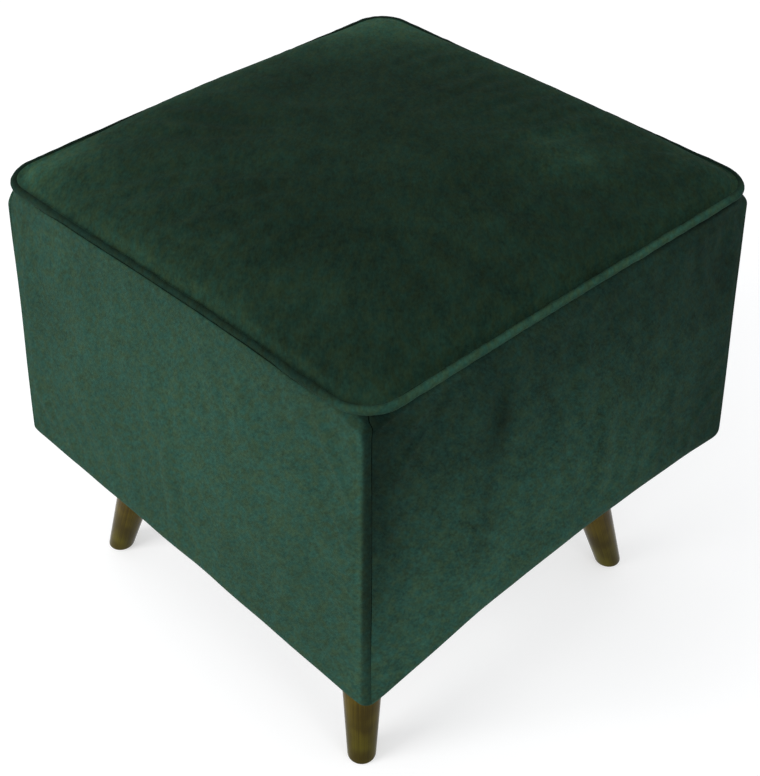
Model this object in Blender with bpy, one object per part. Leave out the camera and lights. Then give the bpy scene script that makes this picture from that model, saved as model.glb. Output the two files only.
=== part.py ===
"""Cube pouf stool: velvet top panel, piping, four padded side panels, base and splayed legs.

Metres, +Z up, origin on the floor under the middle of the box. The front corner, where the
two faces seen first meet, points to +X -Y.
"""

import math

import bmesh
import bpy
from mathutils import Matrix, Vector

# ---- driving dimensions -------------------------------------------------------------
WELT_HALF = 0.210          # middle of the box to the centre line of the piping
WELT_HEIGHT = 0.418        # floor to the centre line of the piping
BOX_BOTTOM = 0.150         # floor to the underside of the box
SIDE_FLARE = 0.0095        # each side stands this much further out at the bottom

PIPING_RADIUS = 0.0032
PIPING_CORNER = 0.030      # plan radius of the piping at the four corners
SEAT = 0.0003              # gap between pieces that touch
SEAM_SEAT = 0.0006         # and between two panels, level, at their slanting upright seam

SIDE_THICKNESS = 0.030     # padded side panel, cloth face to inner face
SIDE_PROUD = 0.0015        # side cloth stands outside the piping's centre line
SIDE_BULGE = 0.0030        # filling swells the middle of each side
UPRIGHT_CORNER = 0.007     # plan radius of the upright edges below the shoulder
SHOULDER_FROM = 0.006      # below the piping, where its corner begins to narrow ...
SHOULDER_DROP = 0.018      # ... to that edge, and the height over which it does
CORNER_DRAW = 0.0030       # upright seams pull the corners in by this below the shoulder ...
CORNER_DRAW_FOOT = 0.0005  # ... and by this at the bottom
CORNER_DRAW_FROM = 0.55    # share of the half face from which the pull begins
SEAM_TURN = 80             # degrees of the corner that each panel wraps before its seam
SEAM_DIP = 0.0014          # how far the cloth is drawn in at an upright seam
SEAM_DIP_FROM = 0.004      # below the piping, where the dip begins ...
SEAM_DIP_DROP = 0.012      # ... and the height over which it deepens

# The four corners of the box, by the signs of X and Y. The bottom edge rolls under with
# hem_radius there, the sewn edge lies corner_rise above its mean, and the top rises by crown
# beside the piping.
CORNERS = {
    (1, -1): {"hem_radius": 0.005, "corner_rise": 0.0005, "crown": 0.0060},
    (1, 1): {"hem_radius": 0.015, "corner_rise": -0.0020, "crown": 0.0060},
    (-1, 1): {"hem_radius": 0.010, "corner_rise": 0.0030, "crown": 0.0070},
    (-1, -1): {"hem_radius": 0.006, "corner_rise": -0.0060, "crown": 0.0010},
}
# In the middle of a face the bottom edge is softer: its radius there, face by face.
HEM_MIDDLE = {"side_right": 0.032, "side_back": 0.018, "side_left": 0.022, "side_front": 0.009}

CROWN_MIDDLE = 0.0150      # rise of the top beside the piping, in the middle of an edge
CROWN_REACH = 0.018        # distance over which it rises
CROWN_DOME = 0.0100        # further rise to the middle of the top
CROWN_CORNER_POWER = 2     # how closely the lower rise keeps to the corners

WELT_WAVE = 0.0010         # the sewn edge rises and dips by this along each side ...
WAVE_LENGTH = 0.350        # ... over this length
WAVE_START = (0.6, 2.1)    # where in the wave the middle of the box lies, along X and Y
WAVE_LEAN = 0.4            # the wave along X is stronger to the front by this share
CORNER_REACH_POWER = 3     # a corner's rise fades along its edges with this power
WAVE_FADE_FROM = 0.005     # below the piping, where the wave begins to fade out ...
WAVE_FADE_TO = 0.080       # ... and where it is gone

BASE_THICKNESS = 0.012
BASE_RECESS = 0.0015       # base lies this far above the rolled hems
BASE_EDGE = 0.0015         # rounded edge of the base

LEG_FOOT_HALF = (0.1715, 0.1635)   # leg axis at the floor, from the legs' middle, in X and Y
LEG_SPLAY = 0.033                  # each axis stands this much further in where it meets the base
LEG_SET_OFF = (-0.0085, -0.0080)   # the legs' middle is set this far off the box's middle
LEG_TOP_RADIUS = 0.0225
LEG_FOOT_RADIUS = 0.0120
LEG_EDGE = 0.0025          # rounded edge of the sole
LEG_EDGE_MIDDLE = 0.3      # height and inset of the middle of that edge, as a share of it

# ---- mesh fineness ------------------------------------------------------------------
FACE_STEPS = 14            # columns across one face
ARC_STEPS = 5              # columns round one corner
HEM_STEPS = 4
PIPING_STRAIGHT = 12
PIPING_ARC = 8
PIPING_SIDES = 8
TOP_FACE_STEPS = 14
TOP_ARC_STEPS = 5
TOP_INSETS = (0.0, 0.0012, 0.0035, 0.007, 0.0115, 0.018, 0.030, 0.048, 0.072, 0.102, 0.136, 0.172)
LEG_SIDES = 20
LEG_LEVELS = 6
MERGE = 0.00001            # points closer than this are one

VELVET = ("velvet", (0.026, 0.060, 0.042), 0.85)
VELVET_PIPING = ("velvet_piping", (0.030, 0.066, 0.047), 0.80)
BASE_CLOTH = ("base_cloth", (0.012, 0.012, 0.013), 0.95)
LACQUERED_WOOD = ("lacquered_wood", (0.055, 0.038, 0.012), 0.30)

# Faces in order round the box: name, outward axis as quarter turns from +X.
FACES = (("side_right", 0), ("side_back", 1), ("side_left", 2), ("side_front", 3))
# Corner at the start of each face, in the same order; the next one is at its end.
FACE_STARTS = ((1, -1), (1, 1), (-1, 1), (-1, -1))
LEGS = (("leg_front", 1, -1), ("leg_right", 1, 1), ("leg_back", -1, 1), ("leg_left", -1, -1))


# ---- scene helpers ------------------------------------------------------------------
def clear_scene():
    for obj in list(bpy.data.objects):
        bpy.data.objects.remove(obj, do_unlink=True)


def make_material(spec):
    name, colour, roughness = spec
    material = bpy.data.materials.get(name)
    if material is None:
        material = bpy.data.materials.new(name)
        material.use_nodes = True
        shader = material.node_tree.nodes["Principled BSDF"]
        shader.inputs["Base Color"].default_value = (*colour, 1.0)
        shader.inputs["Roughness"].default_value = roughness
        shader.inputs["Metallic"].default_value = 0.0
    return material


def add_piece(name, bm, spec, sharp_degrees=40):
    """Close the bmesh into a named object, faces outwards."""
    bmesh.ops.recalc_face_normals(bm, faces=bm.faces)
    mesh = bpy.data.meshes.new(name)
    bm.to_mesh(mesh)
    bm.free()
    mesh.shade_smooth()
    mesh.set_sharp_from_angle(angle=math.radians(sharp_degrees))
    mesh.materials.append(make_material(spec))
    piece = bpy.data.objects.new(name, mesh)
    bpy.context.scene.collection.objects.link(piece)
    return piece


def loft(bm, loops, closed_along=False):
    """Bridge closed loops of equal length, in order; return their vertex rows."""
    rows = [[bm.verts.new(point) for point in loop] for loop in loops]
    pairs = list(zip(rows, rows[1:]))
    if closed_along:
        pairs.append((rows[-1], rows[0]))
    for row_a, row_b in pairs:
        count = len(row_a)
        for i in range(count):
            j = (i + 1) % count
            bm.faces.new((row_a[i], row_a[j], row_b[j], row_b[i]))
    return rows


def close_with_fan(bm, row, centre):
    middle = bm.verts.new(centre)
    for i, vert in enumerate(row):
        bm.faces.new((vert, row[(i + 1) % len(row)], middle))


# ---- shared shape of the box --------------------------------------------------------
INNER_HALF = WELT_HALF + SIDE_PROUD - SIDE_THICKNESS   # middle to the panels' inner faces
FACE_HEIGHT = WELT_HEIGHT - BOX_BOTTOM


def smoothstep(value):
    value = min(max(value, 0.0), 1.0)
    return value * value * (3.0 - 2.0 * value)


def sewn_edge_rise(x, y):
    """Height of the sewn edge above its mean: a slow wave, and what each corner adds."""
    along_x = math.sin(2.0 * math.pi * x / WAVE_LENGTH + WAVE_START[0])
    along_y = math.sin(2.0 * math.pi * y / WAVE_LENGTH + WAVE_START[1])
    front = 0.6 - WAVE_LEAN * y / WELT_HALF
    rise = WELT_WAVE * (along_x * front + 0.5 * along_y)
    for (sign_x, sign_y), corner in CORNERS.items():
        near_x = max(0.5 + 0.5 * sign_x * x / WELT_HALF, 0.0)
        near_y = max(0.5 + 0.5 * sign_y * y / WELT_HALF, 0.0)
        rise += corner["corner_rise"] * (near_x * near_y) ** CORNER_REACH_POWER
    return rise


def settle(point):
    """Move a point with the wave of the sewn edge, which fades out down the sides."""
    depth = WELT_HEIGHT - point.z
    weight = smoothstep((WAVE_FADE_TO - depth) / (WAVE_FADE_TO - WAVE_FADE_FROM))
    return Vector((point.x, point.y, point.z + weight * sewn_edge_rise(point.x, point.y)))


def rounded_square(half, radius, straight_steps, arc_steps):
    """Points of a rounded square, anticlockwise from the start of the +X face."""
    points = []
    run = half - radius
    for quarter in range(4):
        turn = Matrix.Rotation(quarter * math.pi / 2.0, 2)
        for i in range(straight_steps):
            along = -run + 2.0 * run * i / straight_steps
            points.append(turn @ Vector((half, along)))
        for i in range(arc_steps):
            angle = math.pi / 2.0 * i / arc_steps
            on_arc = Vector((math.cos(angle), math.sin(angle))) * radius
            points.append(turn @ (Vector((run, run)) + on_arc))
    return points


# ---- piping -------------------------------------------------------------------------
def build_piping():
    """One round cord in a closed loop."""
    path = rounded_square(WELT_HALF, PIPING_CORNER, PIPING_STRAIGHT, PIPING_ARC)
    loops = []
    for i, point in enumerate(path):
        ahead = path[(i + 1) % len(path)] - path[i - 1]
        outward = Vector((ahead.y, -ahead.x)).normalized()
        loop = []
        for k in range(PIPING_SIDES):
            angle = 2.0 * math.pi * (k + 0.5) / PIPING_SIDES
            spot = point + outward * PIPING_RADIUS * math.cos(angle)
            rise = PIPING_RADIUS * math.sin(angle)
            loop.append(settle(Vector((spot.x, spot.y, WELT_HEIGHT + rise))))
        loops.append(loop)
    bm = bmesh.new()
    loft(bm, loops, closed_along=True)
    return add_piece("piping", bm, VELVET_PIPING, 60)


# ---- top panel ----------------------------------------------------------------------
TOP_EDGE_INSET = PIPING_RADIUS + SEAT          # seam edge of the top, inside the piping
TOP_EDGE_HALF = WELT_HALF - TOP_EDGE_INSET
TOP_UNDERSIDE = WELT_HEIGHT - 0.0045
TOP_SEAM_HEIGHT = WELT_HEIGHT - 0.0008


def top_height(x, y, inset):
    """Height of the filled top over its sewn edge, at a point this far inside it."""
    cornerness = min(abs(x * y) / TOP_EDGE_HALF ** 2, 1.0) ** CROWN_CORNER_POWER
    corner = CORNERS[(1 if x >= 0.0 else -1, 1 if y >= 0.0 else -1)]
    edge_rise = CROWN_MIDDLE - (CROWN_MIDDLE - corner["crown"]) * cornerness
    along = min(inset / CROWN_REACH, 1.0)
    rounded = math.sqrt(1.0 - (1.0 - along) ** 2)
    across_x = math.cos(math.pi / 2.0 * x / TOP_EDGE_HALF)
    across_y = math.cos(math.pi / 2.0 * y / TOP_EDGE_HALF)
    return edge_rise * rounded + max(CROWN_DOME * across_x * across_y, 0.0)


def build_top_panel():
    """Filled top: flat below, a crowned face drawn in at the seam above."""
    radius = PIPING_CORNER - TOP_EDGE_INSET
    inner_radius = radius * INNER_HALF / TOP_EDGE_HALF
    inner = rounded_square(INNER_HALF, inner_radius, TOP_FACE_STEPS, TOP_ARC_STEPS)
    edge = rounded_square(TOP_EDGE_HALF, radius, TOP_FACE_STEPS, TOP_ARC_STEPS)
    loops = []
    for ring in (inner, edge):
        loops.append([settle(Vector((p.x, p.y, TOP_UNDERSIDE))) for p in ring])
    for inset in TOP_INSETS:
        ring_radius = radius * (1.0 - inset / TOP_EDGE_HALF)
        ring = rounded_square(TOP_EDGE_HALF - inset, ring_radius, TOP_FACE_STEPS, TOP_ARC_STEPS)
        loop = []
        for p in ring:
            height = TOP_SEAM_HEIGHT + top_height(p.x, p.y, inset)
            loop.append(settle(Vector((p.x, p.y, height))))
        loops.append(loop)
    bm = bmesh.new()
    rows = loft(bm, loops)
    peak = TOP_SEAM_HEIGHT + top_height(0.0, 0.0, TOP_EDGE_HALF)
    close_with_fan(bm, rows[0], settle(Vector((0.0, 0.0, TOP_UNDERSIDE))))
    close_with_fan(bm, rows[-1], settle(Vector((0.0, 0.0, peak))))
    return add_piece("top_panel", bm, VELVET)


# ---- side panels --------------------------------------------------------------------
SHOULDER = (               # out from the piping's centre line, below it, as seen in section
    (-0.0042, 0.0054),
    (-0.0021, 0.0048),
    (-0.0006, 0.0036),
    (0.0006, 0.0044),
    (0.0012, 0.0062),
    (0.0015, 0.0095),
)
FACE_DEPTHS = (0.0125, 0.016, 0.020, 0.024, 0.034, 0.046, 0.075, 0.115, 0.160, 0.205)
INNER_DEPTHS = (0.005, 0.095, 0.185, FACE_HEIGHT)   # levels of the inner face


def upright_radius(depth):
    """Plan radius of the box's upright edges, this far below the piping."""
    narrowing = smoothstep((depth - SHOULDER_FROM) / SHOULDER_DROP)
    return PIPING_CORNER + (UPRIGHT_CORNER - PIPING_CORNER) * narrowing


def corner_draw(depth):
    """How far the upright seams pull the corners in, this far below the piping."""
    fall = depth / FACE_HEIGHT
    begin = smoothstep((depth - SHOULDER_FROM) / SHOULDER_DROP)
    return begin * (CORNER_DRAW + (CORNER_DRAW_FOOT - CORNER_DRAW) * fall)


def face_reach(depth, along):
    """How far flare and filling bring a face out, this far below the piping."""
    fall = depth / FACE_HEIGHT
    swell = math.sin(math.pi * fall) * (1.0 - along * along)
    return SIDE_FLARE * fall + SIDE_BULGE * swell


def side_columns():
    """From the seam beyond the start corner, over the face, round the end corner."""
    columns = [("arc", -(90.0 - SEAM_TURN))]
    columns += [("face", -1.0 + 2.0 * i / FACE_STEPS) for i in range(FACE_STEPS + 1)]
    columns += [("arc", SEAM_TURN * (i + 1) / ARC_STEPS) for i in range(ARC_STEPS)]
    return columns


def side_place(half, radius, draw, column):
    """Plan place and outward normal of a column: ("face", -1..1) or ("arc", degrees)."""
    kind, value = column
    run = half - draw - radius
    if kind == "face":
        pull = max(abs(value) - CORNER_DRAW_FROM, 0.0) / (1.0 - CORNER_DRAW_FROM)
        return Vector((half - draw * pull * pull, value * run)), Vector((1.0, 0.0))
    angle = math.radians(abs(value))
    sign = math.copysign(1.0, value)
    normal = Vector((math.cos(angle), sign * math.sin(angle)))
    return Vector((run, sign * run)) + normal * radius, normal


def hem_radius(name, quarter, along):
    """Radius of the bottom edge at a place along a face, -1 and 1 being its two corners."""
    start = CORNERS[FACE_STARTS[quarter]]["hem_radius"]
    end = CORNERS[FACE_STARTS[(quarter + 1) % 4]]["hem_radius"]
    straight = start + (end - start) * (along + 1.0) / 2.0
    middle = (start + end) / 2.0
    return straight + (HEM_MIDDLE[name] - middle) * (1.0 - along * along)


def side_section(hem):
    """Rows of the cloth face, top seam to underside: offset, plan radius and depth."""
    rows = [(out, upright_radius(depth) + out, depth) for out, depth in SHOULDER]
    rows += [(SIDE_PROUD, upright_radius(depth), depth) for depth in FACE_DEPTHS]
    for i in range(HEM_STEPS + 1):
        angle = math.pi / 2.0 * i / HEM_STEPS
        offset = SIDE_PROUD - hem * (1.0 - math.cos(angle))
        rows.append((offset, UPRIGHT_CORNER, FACE_HEIGHT - hem * (1.0 - math.sin(angle))))
    return rows


def side_outer_points(name, quarter, column, at_seam):
    """Cloth face of one column, from the top seam down and under the bottom edge."""
    along = column[1] if column[0] == "face" else math.copysign(1.0, column[1])
    points = []
    for offset, radius, depth in side_section(hem_radius(name, quarter, along)):
        half = WELT_HALF + offset + face_reach(depth, along)
        place, normal = side_place(half, radius, corner_draw(depth), column)
        if at_seam:
            place -= normal * SEAM_DIP * smoothstep((depth - SEAM_DIP_FROM) / SEAM_DIP_DROP)
        points.append(Vector((place.x, place.y, WELT_HEIGHT - depth)))
    return points


def nearest_level(point):
    """Index of the inner face's level that lies nearest to a point of the cloth face."""
    depth = WELT_HEIGHT - point.z
    return min(range(len(INNER_DEPTHS)), key=lambda k: abs(INNER_DEPTHS[k] - depth))


def clear_of_neighbour(point, corner, side):
    """Move a seam point half the seat away from the cut that runs to it from the corner."""
    across = Vector((corner.y - point.y, point.x - corner.x, 0.0)).normalized()
    return point + across * (side * SEAM_SEAT / 2.0)


def build_side(name, quarter):
    """Padded panel: a cloth face and an inner face, joined by the cuts at its two seams."""
    columns = side_columns()
    last = len(columns) - 1
    turn = Matrix.Rotation(quarter * math.pi / 2.0, 3, "Z")
    inner_run = INNER_HALF - SEAM_SEAT
    bm = bmesh.new()
    outer, inner, level_of_row = [], [], []
    for i, column in enumerate(columns):
        along = (i - 1) / FACE_STEPS * 2.0 - 1.0
        inner_along = min(max(along * INNER_HALF, -inner_run), inner_run)
        points = side_outer_points(name, quarter, column, i in (0, last))
        if i in (0, last):
            level_of_row = [0] + [max(nearest_level(point), 1) for point in points[1:]]
            corner = Vector((INNER_HALF, math.copysign(INNER_HALF, inner_along), 0.0))
            side = 1.0 if i == 0 else -1.0
            points = [clear_of_neighbour(point, corner, side) for point in points]
        outer.append([bm.verts.new(settle(turn @ point)) for point in points])
        column_inside = []
        for depth in INNER_DEPTHS:
            point = Vector((INNER_HALF, inner_along, WELT_HEIGHT - depth))
            column_inside.append(bm.verts.new(settle(turn @ point)))
        inner.append(column_inside)
    row_pairs = list(zip(range(len(outer[0])), range(1, len(outer[0]))))
    level_pairs = list(zip(range(len(INNER_DEPTHS)), range(1, len(INNER_DEPTHS))))
    for i in range(last):
        near, far = outer[i], outer[i + 1]
        near_in, far_in = inner[i], inner[i + 1]
        for a, b in row_pairs:
            bm.faces.new((near[a], far[a], far[b], near[b]))
        for a, b in level_pairs:
            bm.faces.new((near_in[a], near_in[b], far_in[b], far_in[a]))
        bm.faces.new((near[0], near_in[0], far_in[0], far[0]))
        bm.faces.new((near[-1], far[-1], far_in[-1], near_in[-1]))
    for end in (0, last):
        for a, b in row_pairs:
            level_a, level_b = level_of_row[a], level_of_row[b]
            if level_a != level_b:
                bm.faces.new((outer[end][a], inner[end][level_b], inner[end][level_a]))
            bm.faces.new((outer[end][a], outer[end][b], inner[end][level_b]))
    bmesh.ops.remove_doubles(bm, verts=bm.verts, dist=MERGE)
    return add_piece(name, bm, VELVET)


# ---- base and legs ------------------------------------------------------------------
def build_base_panel():
    """Flat cloth-faced board let in between the side panels."""
    width = 2.0 * (INNER_HALF - 2.0 * SEAT)
    middle_height = BOX_BOTTOM + BASE_RECESS + BASE_THICKNESS / 2.0
    bm = bmesh.new()
    bmesh.ops.create_cube(bm, size=1.0)
    bmesh.ops.scale(bm, vec=(width, width, BASE_THICKNESS), verts=bm.verts)
    bmesh.ops.translate(bm, vec=(0.0, 0.0, middle_height), verts=bm.verts)
    bmesh.ops.bevel(bm, geom=list(bm.edges), offset=BASE_EDGE, segments=1, affect="EDGES")
    return add_piece("base_panel", bm, BASE_CLOTH, 30)


def build_leg(name, sign_x, sign_y):
    """Turned taper on a splayed axis, cut level at the floor and flush below the base."""
    top_level = BOX_BOTTOM + BASE_RECESS - SEAT
    foot_x = LEG_SET_OFF[0] + sign_x * LEG_FOOT_HALF[0]
    foot_y = LEG_SET_OFF[1] + sign_y * LEG_FOOT_HALF[1]
    foot = Vector((foot_x, foot_y, 0.0))
    top = Vector((foot_x - sign_x * LEG_SPLAY, foot_y - sign_y * LEG_SPLAY, top_level))
    edge_middle = LEG_EDGE * LEG_EDGE_MIDDLE
    levels = [(0.0, LEG_EDGE), (edge_middle, edge_middle), (LEG_EDGE, 0.0)]
    levels += [(top_level * k / LEG_LEVELS, 0.0) for k in range(1, LEG_LEVELS + 1)]
    loops = []
    for height, inset in levels:
        part = height / top_level
        centre = foot.lerp(top, part)
        radius = LEG_FOOT_RADIUS + (LEG_TOP_RADIUS - LEG_FOOT_RADIUS) * part - inset
        loop = []
        for k in range(LEG_SIDES):
            angle = 2.0 * math.pi * k / LEG_SIDES
            loop.append(centre + Vector((math.cos(angle), math.sin(angle), 0.0)) * radius)
        loops.append(loop)
    bm = bmesh.new()
    rows = loft(bm, loops)
    bm.faces.new(list(reversed(rows[0])))
    bm.faces.new(rows[-1])
    return add_piece(name, bm, LACQUERED_WOOD, 50)


def main():
    clear_scene()
    build_top_panel()
    build_piping()
    for name, quarter in FACES:
        build_side(name, quarter)
    build_base_panel()
    for name, sign_x, sign_y in LEGS:
        build_leg(name, sign_x, sign_y)


main()
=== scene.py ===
"""Cube pouf stool: a velvet box with a piped seam, on four turned and lacquered legs."""
import math

import bmesh
import bpy
import numpy as np
from mathutils import Matrix, Vector, noise


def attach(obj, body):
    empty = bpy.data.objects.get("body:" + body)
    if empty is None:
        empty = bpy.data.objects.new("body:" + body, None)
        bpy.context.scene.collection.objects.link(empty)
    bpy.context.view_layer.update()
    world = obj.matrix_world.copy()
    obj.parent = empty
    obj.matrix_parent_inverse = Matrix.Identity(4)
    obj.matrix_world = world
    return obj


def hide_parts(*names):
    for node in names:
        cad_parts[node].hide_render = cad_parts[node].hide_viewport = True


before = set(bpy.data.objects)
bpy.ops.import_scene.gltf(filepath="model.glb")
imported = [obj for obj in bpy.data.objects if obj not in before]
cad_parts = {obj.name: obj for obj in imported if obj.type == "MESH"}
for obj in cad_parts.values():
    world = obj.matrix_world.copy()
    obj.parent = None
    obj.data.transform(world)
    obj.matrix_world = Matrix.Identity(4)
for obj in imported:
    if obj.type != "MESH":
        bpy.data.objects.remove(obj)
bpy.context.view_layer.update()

bpy.context.scene.view_settings.view_transform = "Standard"

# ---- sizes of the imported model, in metres --------------------
WELT_HALF = 0.210          # middle of the box to the centre line of the piping
WELT_HEIGHT = 0.418        # floor to the centre line of the piping
BOX_BOTTOM = 0.150
FACE_HEIGHT = WELT_HEIGHT - BOX_BOTTOM
PIPING_RADIUS = 0.0032
PIPING_CORNER = 0.030      # plan radius of the piping at the corners
SEAT = 0.0003              # gap between pieces that touch

SIDE_PROUD = 0.0015        # side cloth stands outside the piping's centre line
SIDE_FLARE = 0.0095        # and by this much more at the hem
SIDE_BULGE = 0.0030        # its filling swells by this halfway down
SIDE_THICKNESS = 0.030
UPRIGHT_CORNER = 0.007     # plan radius of the upright edges below the shoulder
SHOULDER_FROM = 0.006      # the wide corner starts to narrow this far below the piping
SHOULDER_DROP = 0.018      # and takes this much height to do so
CORNER_DRAW = 0.0030       # the upright seams pull the corners in by this at the top
CORNER_DRAW_FOOT = 0.0005  # and by this at the hem
CORNER_DRAW_FROM = 0.55    # share of the half-width from which they pull
SEAM_TURN = 80.0           # degrees of the corner that each panel wraps before its seam
INNER_HALF = WELT_HALF + SIDE_PROUD - SIDE_THICKNESS
SIDES = (("side_right", 0), ("side_back", 1), ("side_left", 2), ("side_front", 3))
CORNERS = {                # by the signs of x and y: radius of the hem's roll, how far the
    # sewn edge rises, and height of the filled top over it
    (1, -1): {"hem": 0.005, "rise": 0.0005, "crown": 0.0060},
    (1, 1): {"hem": 0.015, "rise": -0.0020, "crown": 0.0060},
    (-1, 1): {"hem": 0.010, "rise": 0.0030, "crown": 0.0070},
    (-1, -1): {"hem": 0.006, "rise": -0.0060, "crown": 0.0010},
}
FACE_STARTS = ((1, -1), (1, 1), (-1, 1), (-1, -1))     # the corner where each side begins
HEM_MIDDLE = {"side_right": 0.032, "side_back": 0.018, "side_left": 0.022, "side_front": 0.009}

TOP_EDGE_HALF = WELT_HALF - PIPING_RADIUS - SEAT
TOP_UNDERSIDE = WELT_HEIGHT - 0.0045
TOP_SEAM_HEIGHT = WELT_HEIGHT - 0.0008
CROWN_MIDDLE = 0.0150      # the top rises by this along its edges, away from the corners
CROWN_REACH = 0.018        # within this distance of the edge
CROWN_DOME = 0.0100        # and by this much more in the middle

WELT_WAVE = 0.0010         # height of the wave in the sewn edge
WAVE_LENGTH = 0.350
WAVE_START = (0.6, 2.1)    # its phase, and its strength, along x and along y
WAVE_SHARE = (0.6, 0.5)
WAVE_LEAN = 0.4            # the wave along x is stronger by this share at the front
WAVE_FADE_FROM = 0.005     # between these depths below the piping it fades out
WAVE_FADE_TO = 0.080

LEG_FOOT_HALF = (0.1715, 0.1635)       # half the distances between the feet
LEG_SET_OFF = (-0.0085, -0.0080)       # middle of the four feet from the middle of the box
LEG_SPLAY = 0.033
LEG_TOP_RADIUS = 0.0225
LEG_FOOT_RADIUS = 0.0120
LEG_TOP = BOX_BOTTOM + 0.0012
LEGS = (("leg_front", 1, -1), ("leg_right", 1, 1), ("leg_back", -1, 1), ("leg_left", -1, -1))

# ---- how the cloth lies at its seams -------------------------
CLOTH_STEP = 0.0045        # spacing of the cloth while it is simulated
WANDER = 0.0005            # the sewn edge strays by this
WANDER_LENGTH = 0.026      # over this length
WANDER_ACROSS = 0.012      # and the cloth beside it less and less, across and down
WANDER_DOWN = 0.015

TOP_EDGE_LINES = (0.0, 0.0005, 0.0011, 0.0018, 0.0027, 0.0038, 0.0052, 0.0070, 0.0093, 0.0120,
                  0.0150)
TOP_SEWN = 0.006           # width of the top's edge that is sewn down
TOP_OVER_CORD = 0.0015     # the top's cloth lies this far over the cord
TOP_EDGE_LIFT = 0.0025     # and meets it this far above its centre line
TOP_FRONT_OVER = 0.0013    # along the front panel it lies this much further over it
TOP_FRONT_RISE = 0.45      # and rises by this share of that
TOP_BACK_INSET = 0.002     # the top's underside stays this far inside its edge
CLOTH_HALF = TOP_EDGE_HALF + TOP_OVER_CORD
TOP_CORNER = PIPING_CORNER - (WELT_HALF - CLOTH_HALF)  # plan radius of the top's corners
TOP_RUN = CLOTH_HALF - TOP_CORNER

SHOULDER = (               # out from the piping's centre line, below it, as seen in section
    (-0.0042, 0.0048), (-0.0032, 0.0043), (-0.0022, 0.0039), (-0.0013, 0.0036),
    (-0.0005, 0.0036), (0.0003, 0.0041), (0.0008, 0.0051), (0.0012, 0.0066),
    (0.0014, 0.0087), (0.0015, 0.0112),
)
FULL_SHOULDER = (          # the front panel's filling swells up against the piping
    (-0.0042, 0.0048), (-0.0025, 0.0040), (-0.0009, 0.0034), (0.0007, 0.0033),
    (0.0021, 0.0025), (0.0030, 0.0012), (0.0033, 0.0001), (0.0041, -0.0005),
    (0.0051, 0.0006), (0.0044, 0.0062),
)
FULL_SHOULDER_FADE = 0.012     # the swelling fades out downwards over this height
FULL_SHOULDER_ENDS = 0.35      # and towards both ends over this share of the half-width
SHORT_DROPS = {(1, -1): 0.0085, (1, 1): 0.0105}    # corners whose shoulder is squarer
SEAM_TURN_TOP = 48.0       # the seams' place on the wide corner just below the piping
START_SHARES = (-1.0, -0.85, -0.6, -0.3)   # upright lines round a side's first corner
END_LINES = 14             # number of them round its last corner
END_CROWDING = 1.6         # and how much closer they lie towards the seam
FACE_CROWDING = 0.12       # share of a half turn left out at each end of the face's spacing
FIRST_ROW = 0.0025         # the rows of a face start this far below its shoulder
ROW_CROWDING = 0.35        # and lie closer at the top by this share
HEM_STEPS = 7
HEM_CORNER_LIFT = 0.0028   # the cloth is drawn up by this under the front corner
HEM_CORNER_HALF = 0.2195
HEM_CORNER_WIDTH = 0.013
HEM_CORNER_HEIGHT = 0.020
PLAIN_ROLLS = ((0.0025, 0.0008), (0.0030, 0.0009))     # width and depth of the cloth's roll
SEAM_ROLLS = {             # in to its first and last seam, and where that differs
    "side_right": ((0.0030, 0.0004), (0.0030, 0.0009)),
    "side_front": ((0.0025, 0.0008), (0.0080, 0.0005)),
}
ROLL_FROM = 0.004          # the roll starts this far below the piping
ROLL_DROP = 0.008          # and is whole after this much height
SIDE_SEWN = (0.008, 0.010)     # width of the cloth sewn down at its first and last seam
SEAM_EDGE = 0.0005         # width of the turn at a sewn edge, which holds it in place
SIDE_BACK_TOP = WELT_HEIGHT - 0.0056
SIDE_BACK_GAP = 0.0006     # two sides' backs stay this far apart

# ---- the filling ---------------------------------------------
CLOTH_FRAMES = 20
CLOTH_SETTINGS = {"quality": 6, "mass": 0.3, "bending_stiffness": 0.6, "shrink_min": -0.012,
                  "vertex_group_mass": "sewn", "use_pressure": True,
                  "uniform_pressure_force": 4.0}
DEEPEST_FOLD = 0.0014      # no point of the cloth is moved further than this
FOLD_PASSES = 60           # smoothing passes that tell the folds from the filled shape
SEWN_PASSES = 8            # and that spread the hold of the sewn edges
SEWN_FADE = 2.4            # how soon the folds start beside them

# height and length of the filling's unevenness and of the puckers at the seam, and how far
# the puckers reach
TOP_LUMPS, TOP_PUCKERS, TOP_PUCKER_REACH = (0.0009, 0.075), (0.0009, 0.016), 0.016
TOP_LUMPS_FROM, TOP_LUMPS_FADE = 0.002, 0.012
TOP_RELIEF_FROM = 0.003    # nothing is moved below this height over the top's underside
CREASE_MIDDLE = 0.165      # the crease runs round this point on both axes
CREASE_RADIUS, CREASE_WIDTH, CREASE_DEPTH = 0.020, 0.003, 0.0009
SIDE_LUMPS, SIDE_PUCKERS = (0.0011, (0.050, 0.050, 0.110)), (0.0010, (0.017, 0.017, 0.060))
SIDE_PUCKERS_FROM, SIDE_PUCKER_REACH = 0.008, 0.018
SIDE_RELIEF_FROM, SIDE_RELIEF_FADE = 0.006, 0.010
SIDE_CLOTH_FROM = INNER_HALF + 0.012   # nothing is moved inside this
SIDE_SEED, SIDE_SEED_STEP, PUCKER_SEED_STEP = 50.0, 9.0, 5.0
PAINTED_SHADE_UNDER_PIPING = 0.030       # reach of the painted shade under the piping

# ---- the colours of the velvet -------------------------------
# standing pile, and how strongly it is brushed in fine strokes, in tufts and in mottles
TOP_VELVET = ("#3c5d4a", 1.1, 1.9, 1.8)
PIPING_VELVET = ("#3b5d4d", 1.3, 1.4, 0.9)
FRONT_VELVET = ("#3c5e4f", 1.35, 1.6, 0.7)
SIDE_VELVET = ("#3a5d4f", 1.45, 2.0, 1.85)
PILE_LEAN = 48.0           # degrees that the strokes on the sides lean from level
STROKE_STRETCH = 1.8       # a stroke is this many times as long as it is wide


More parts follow.
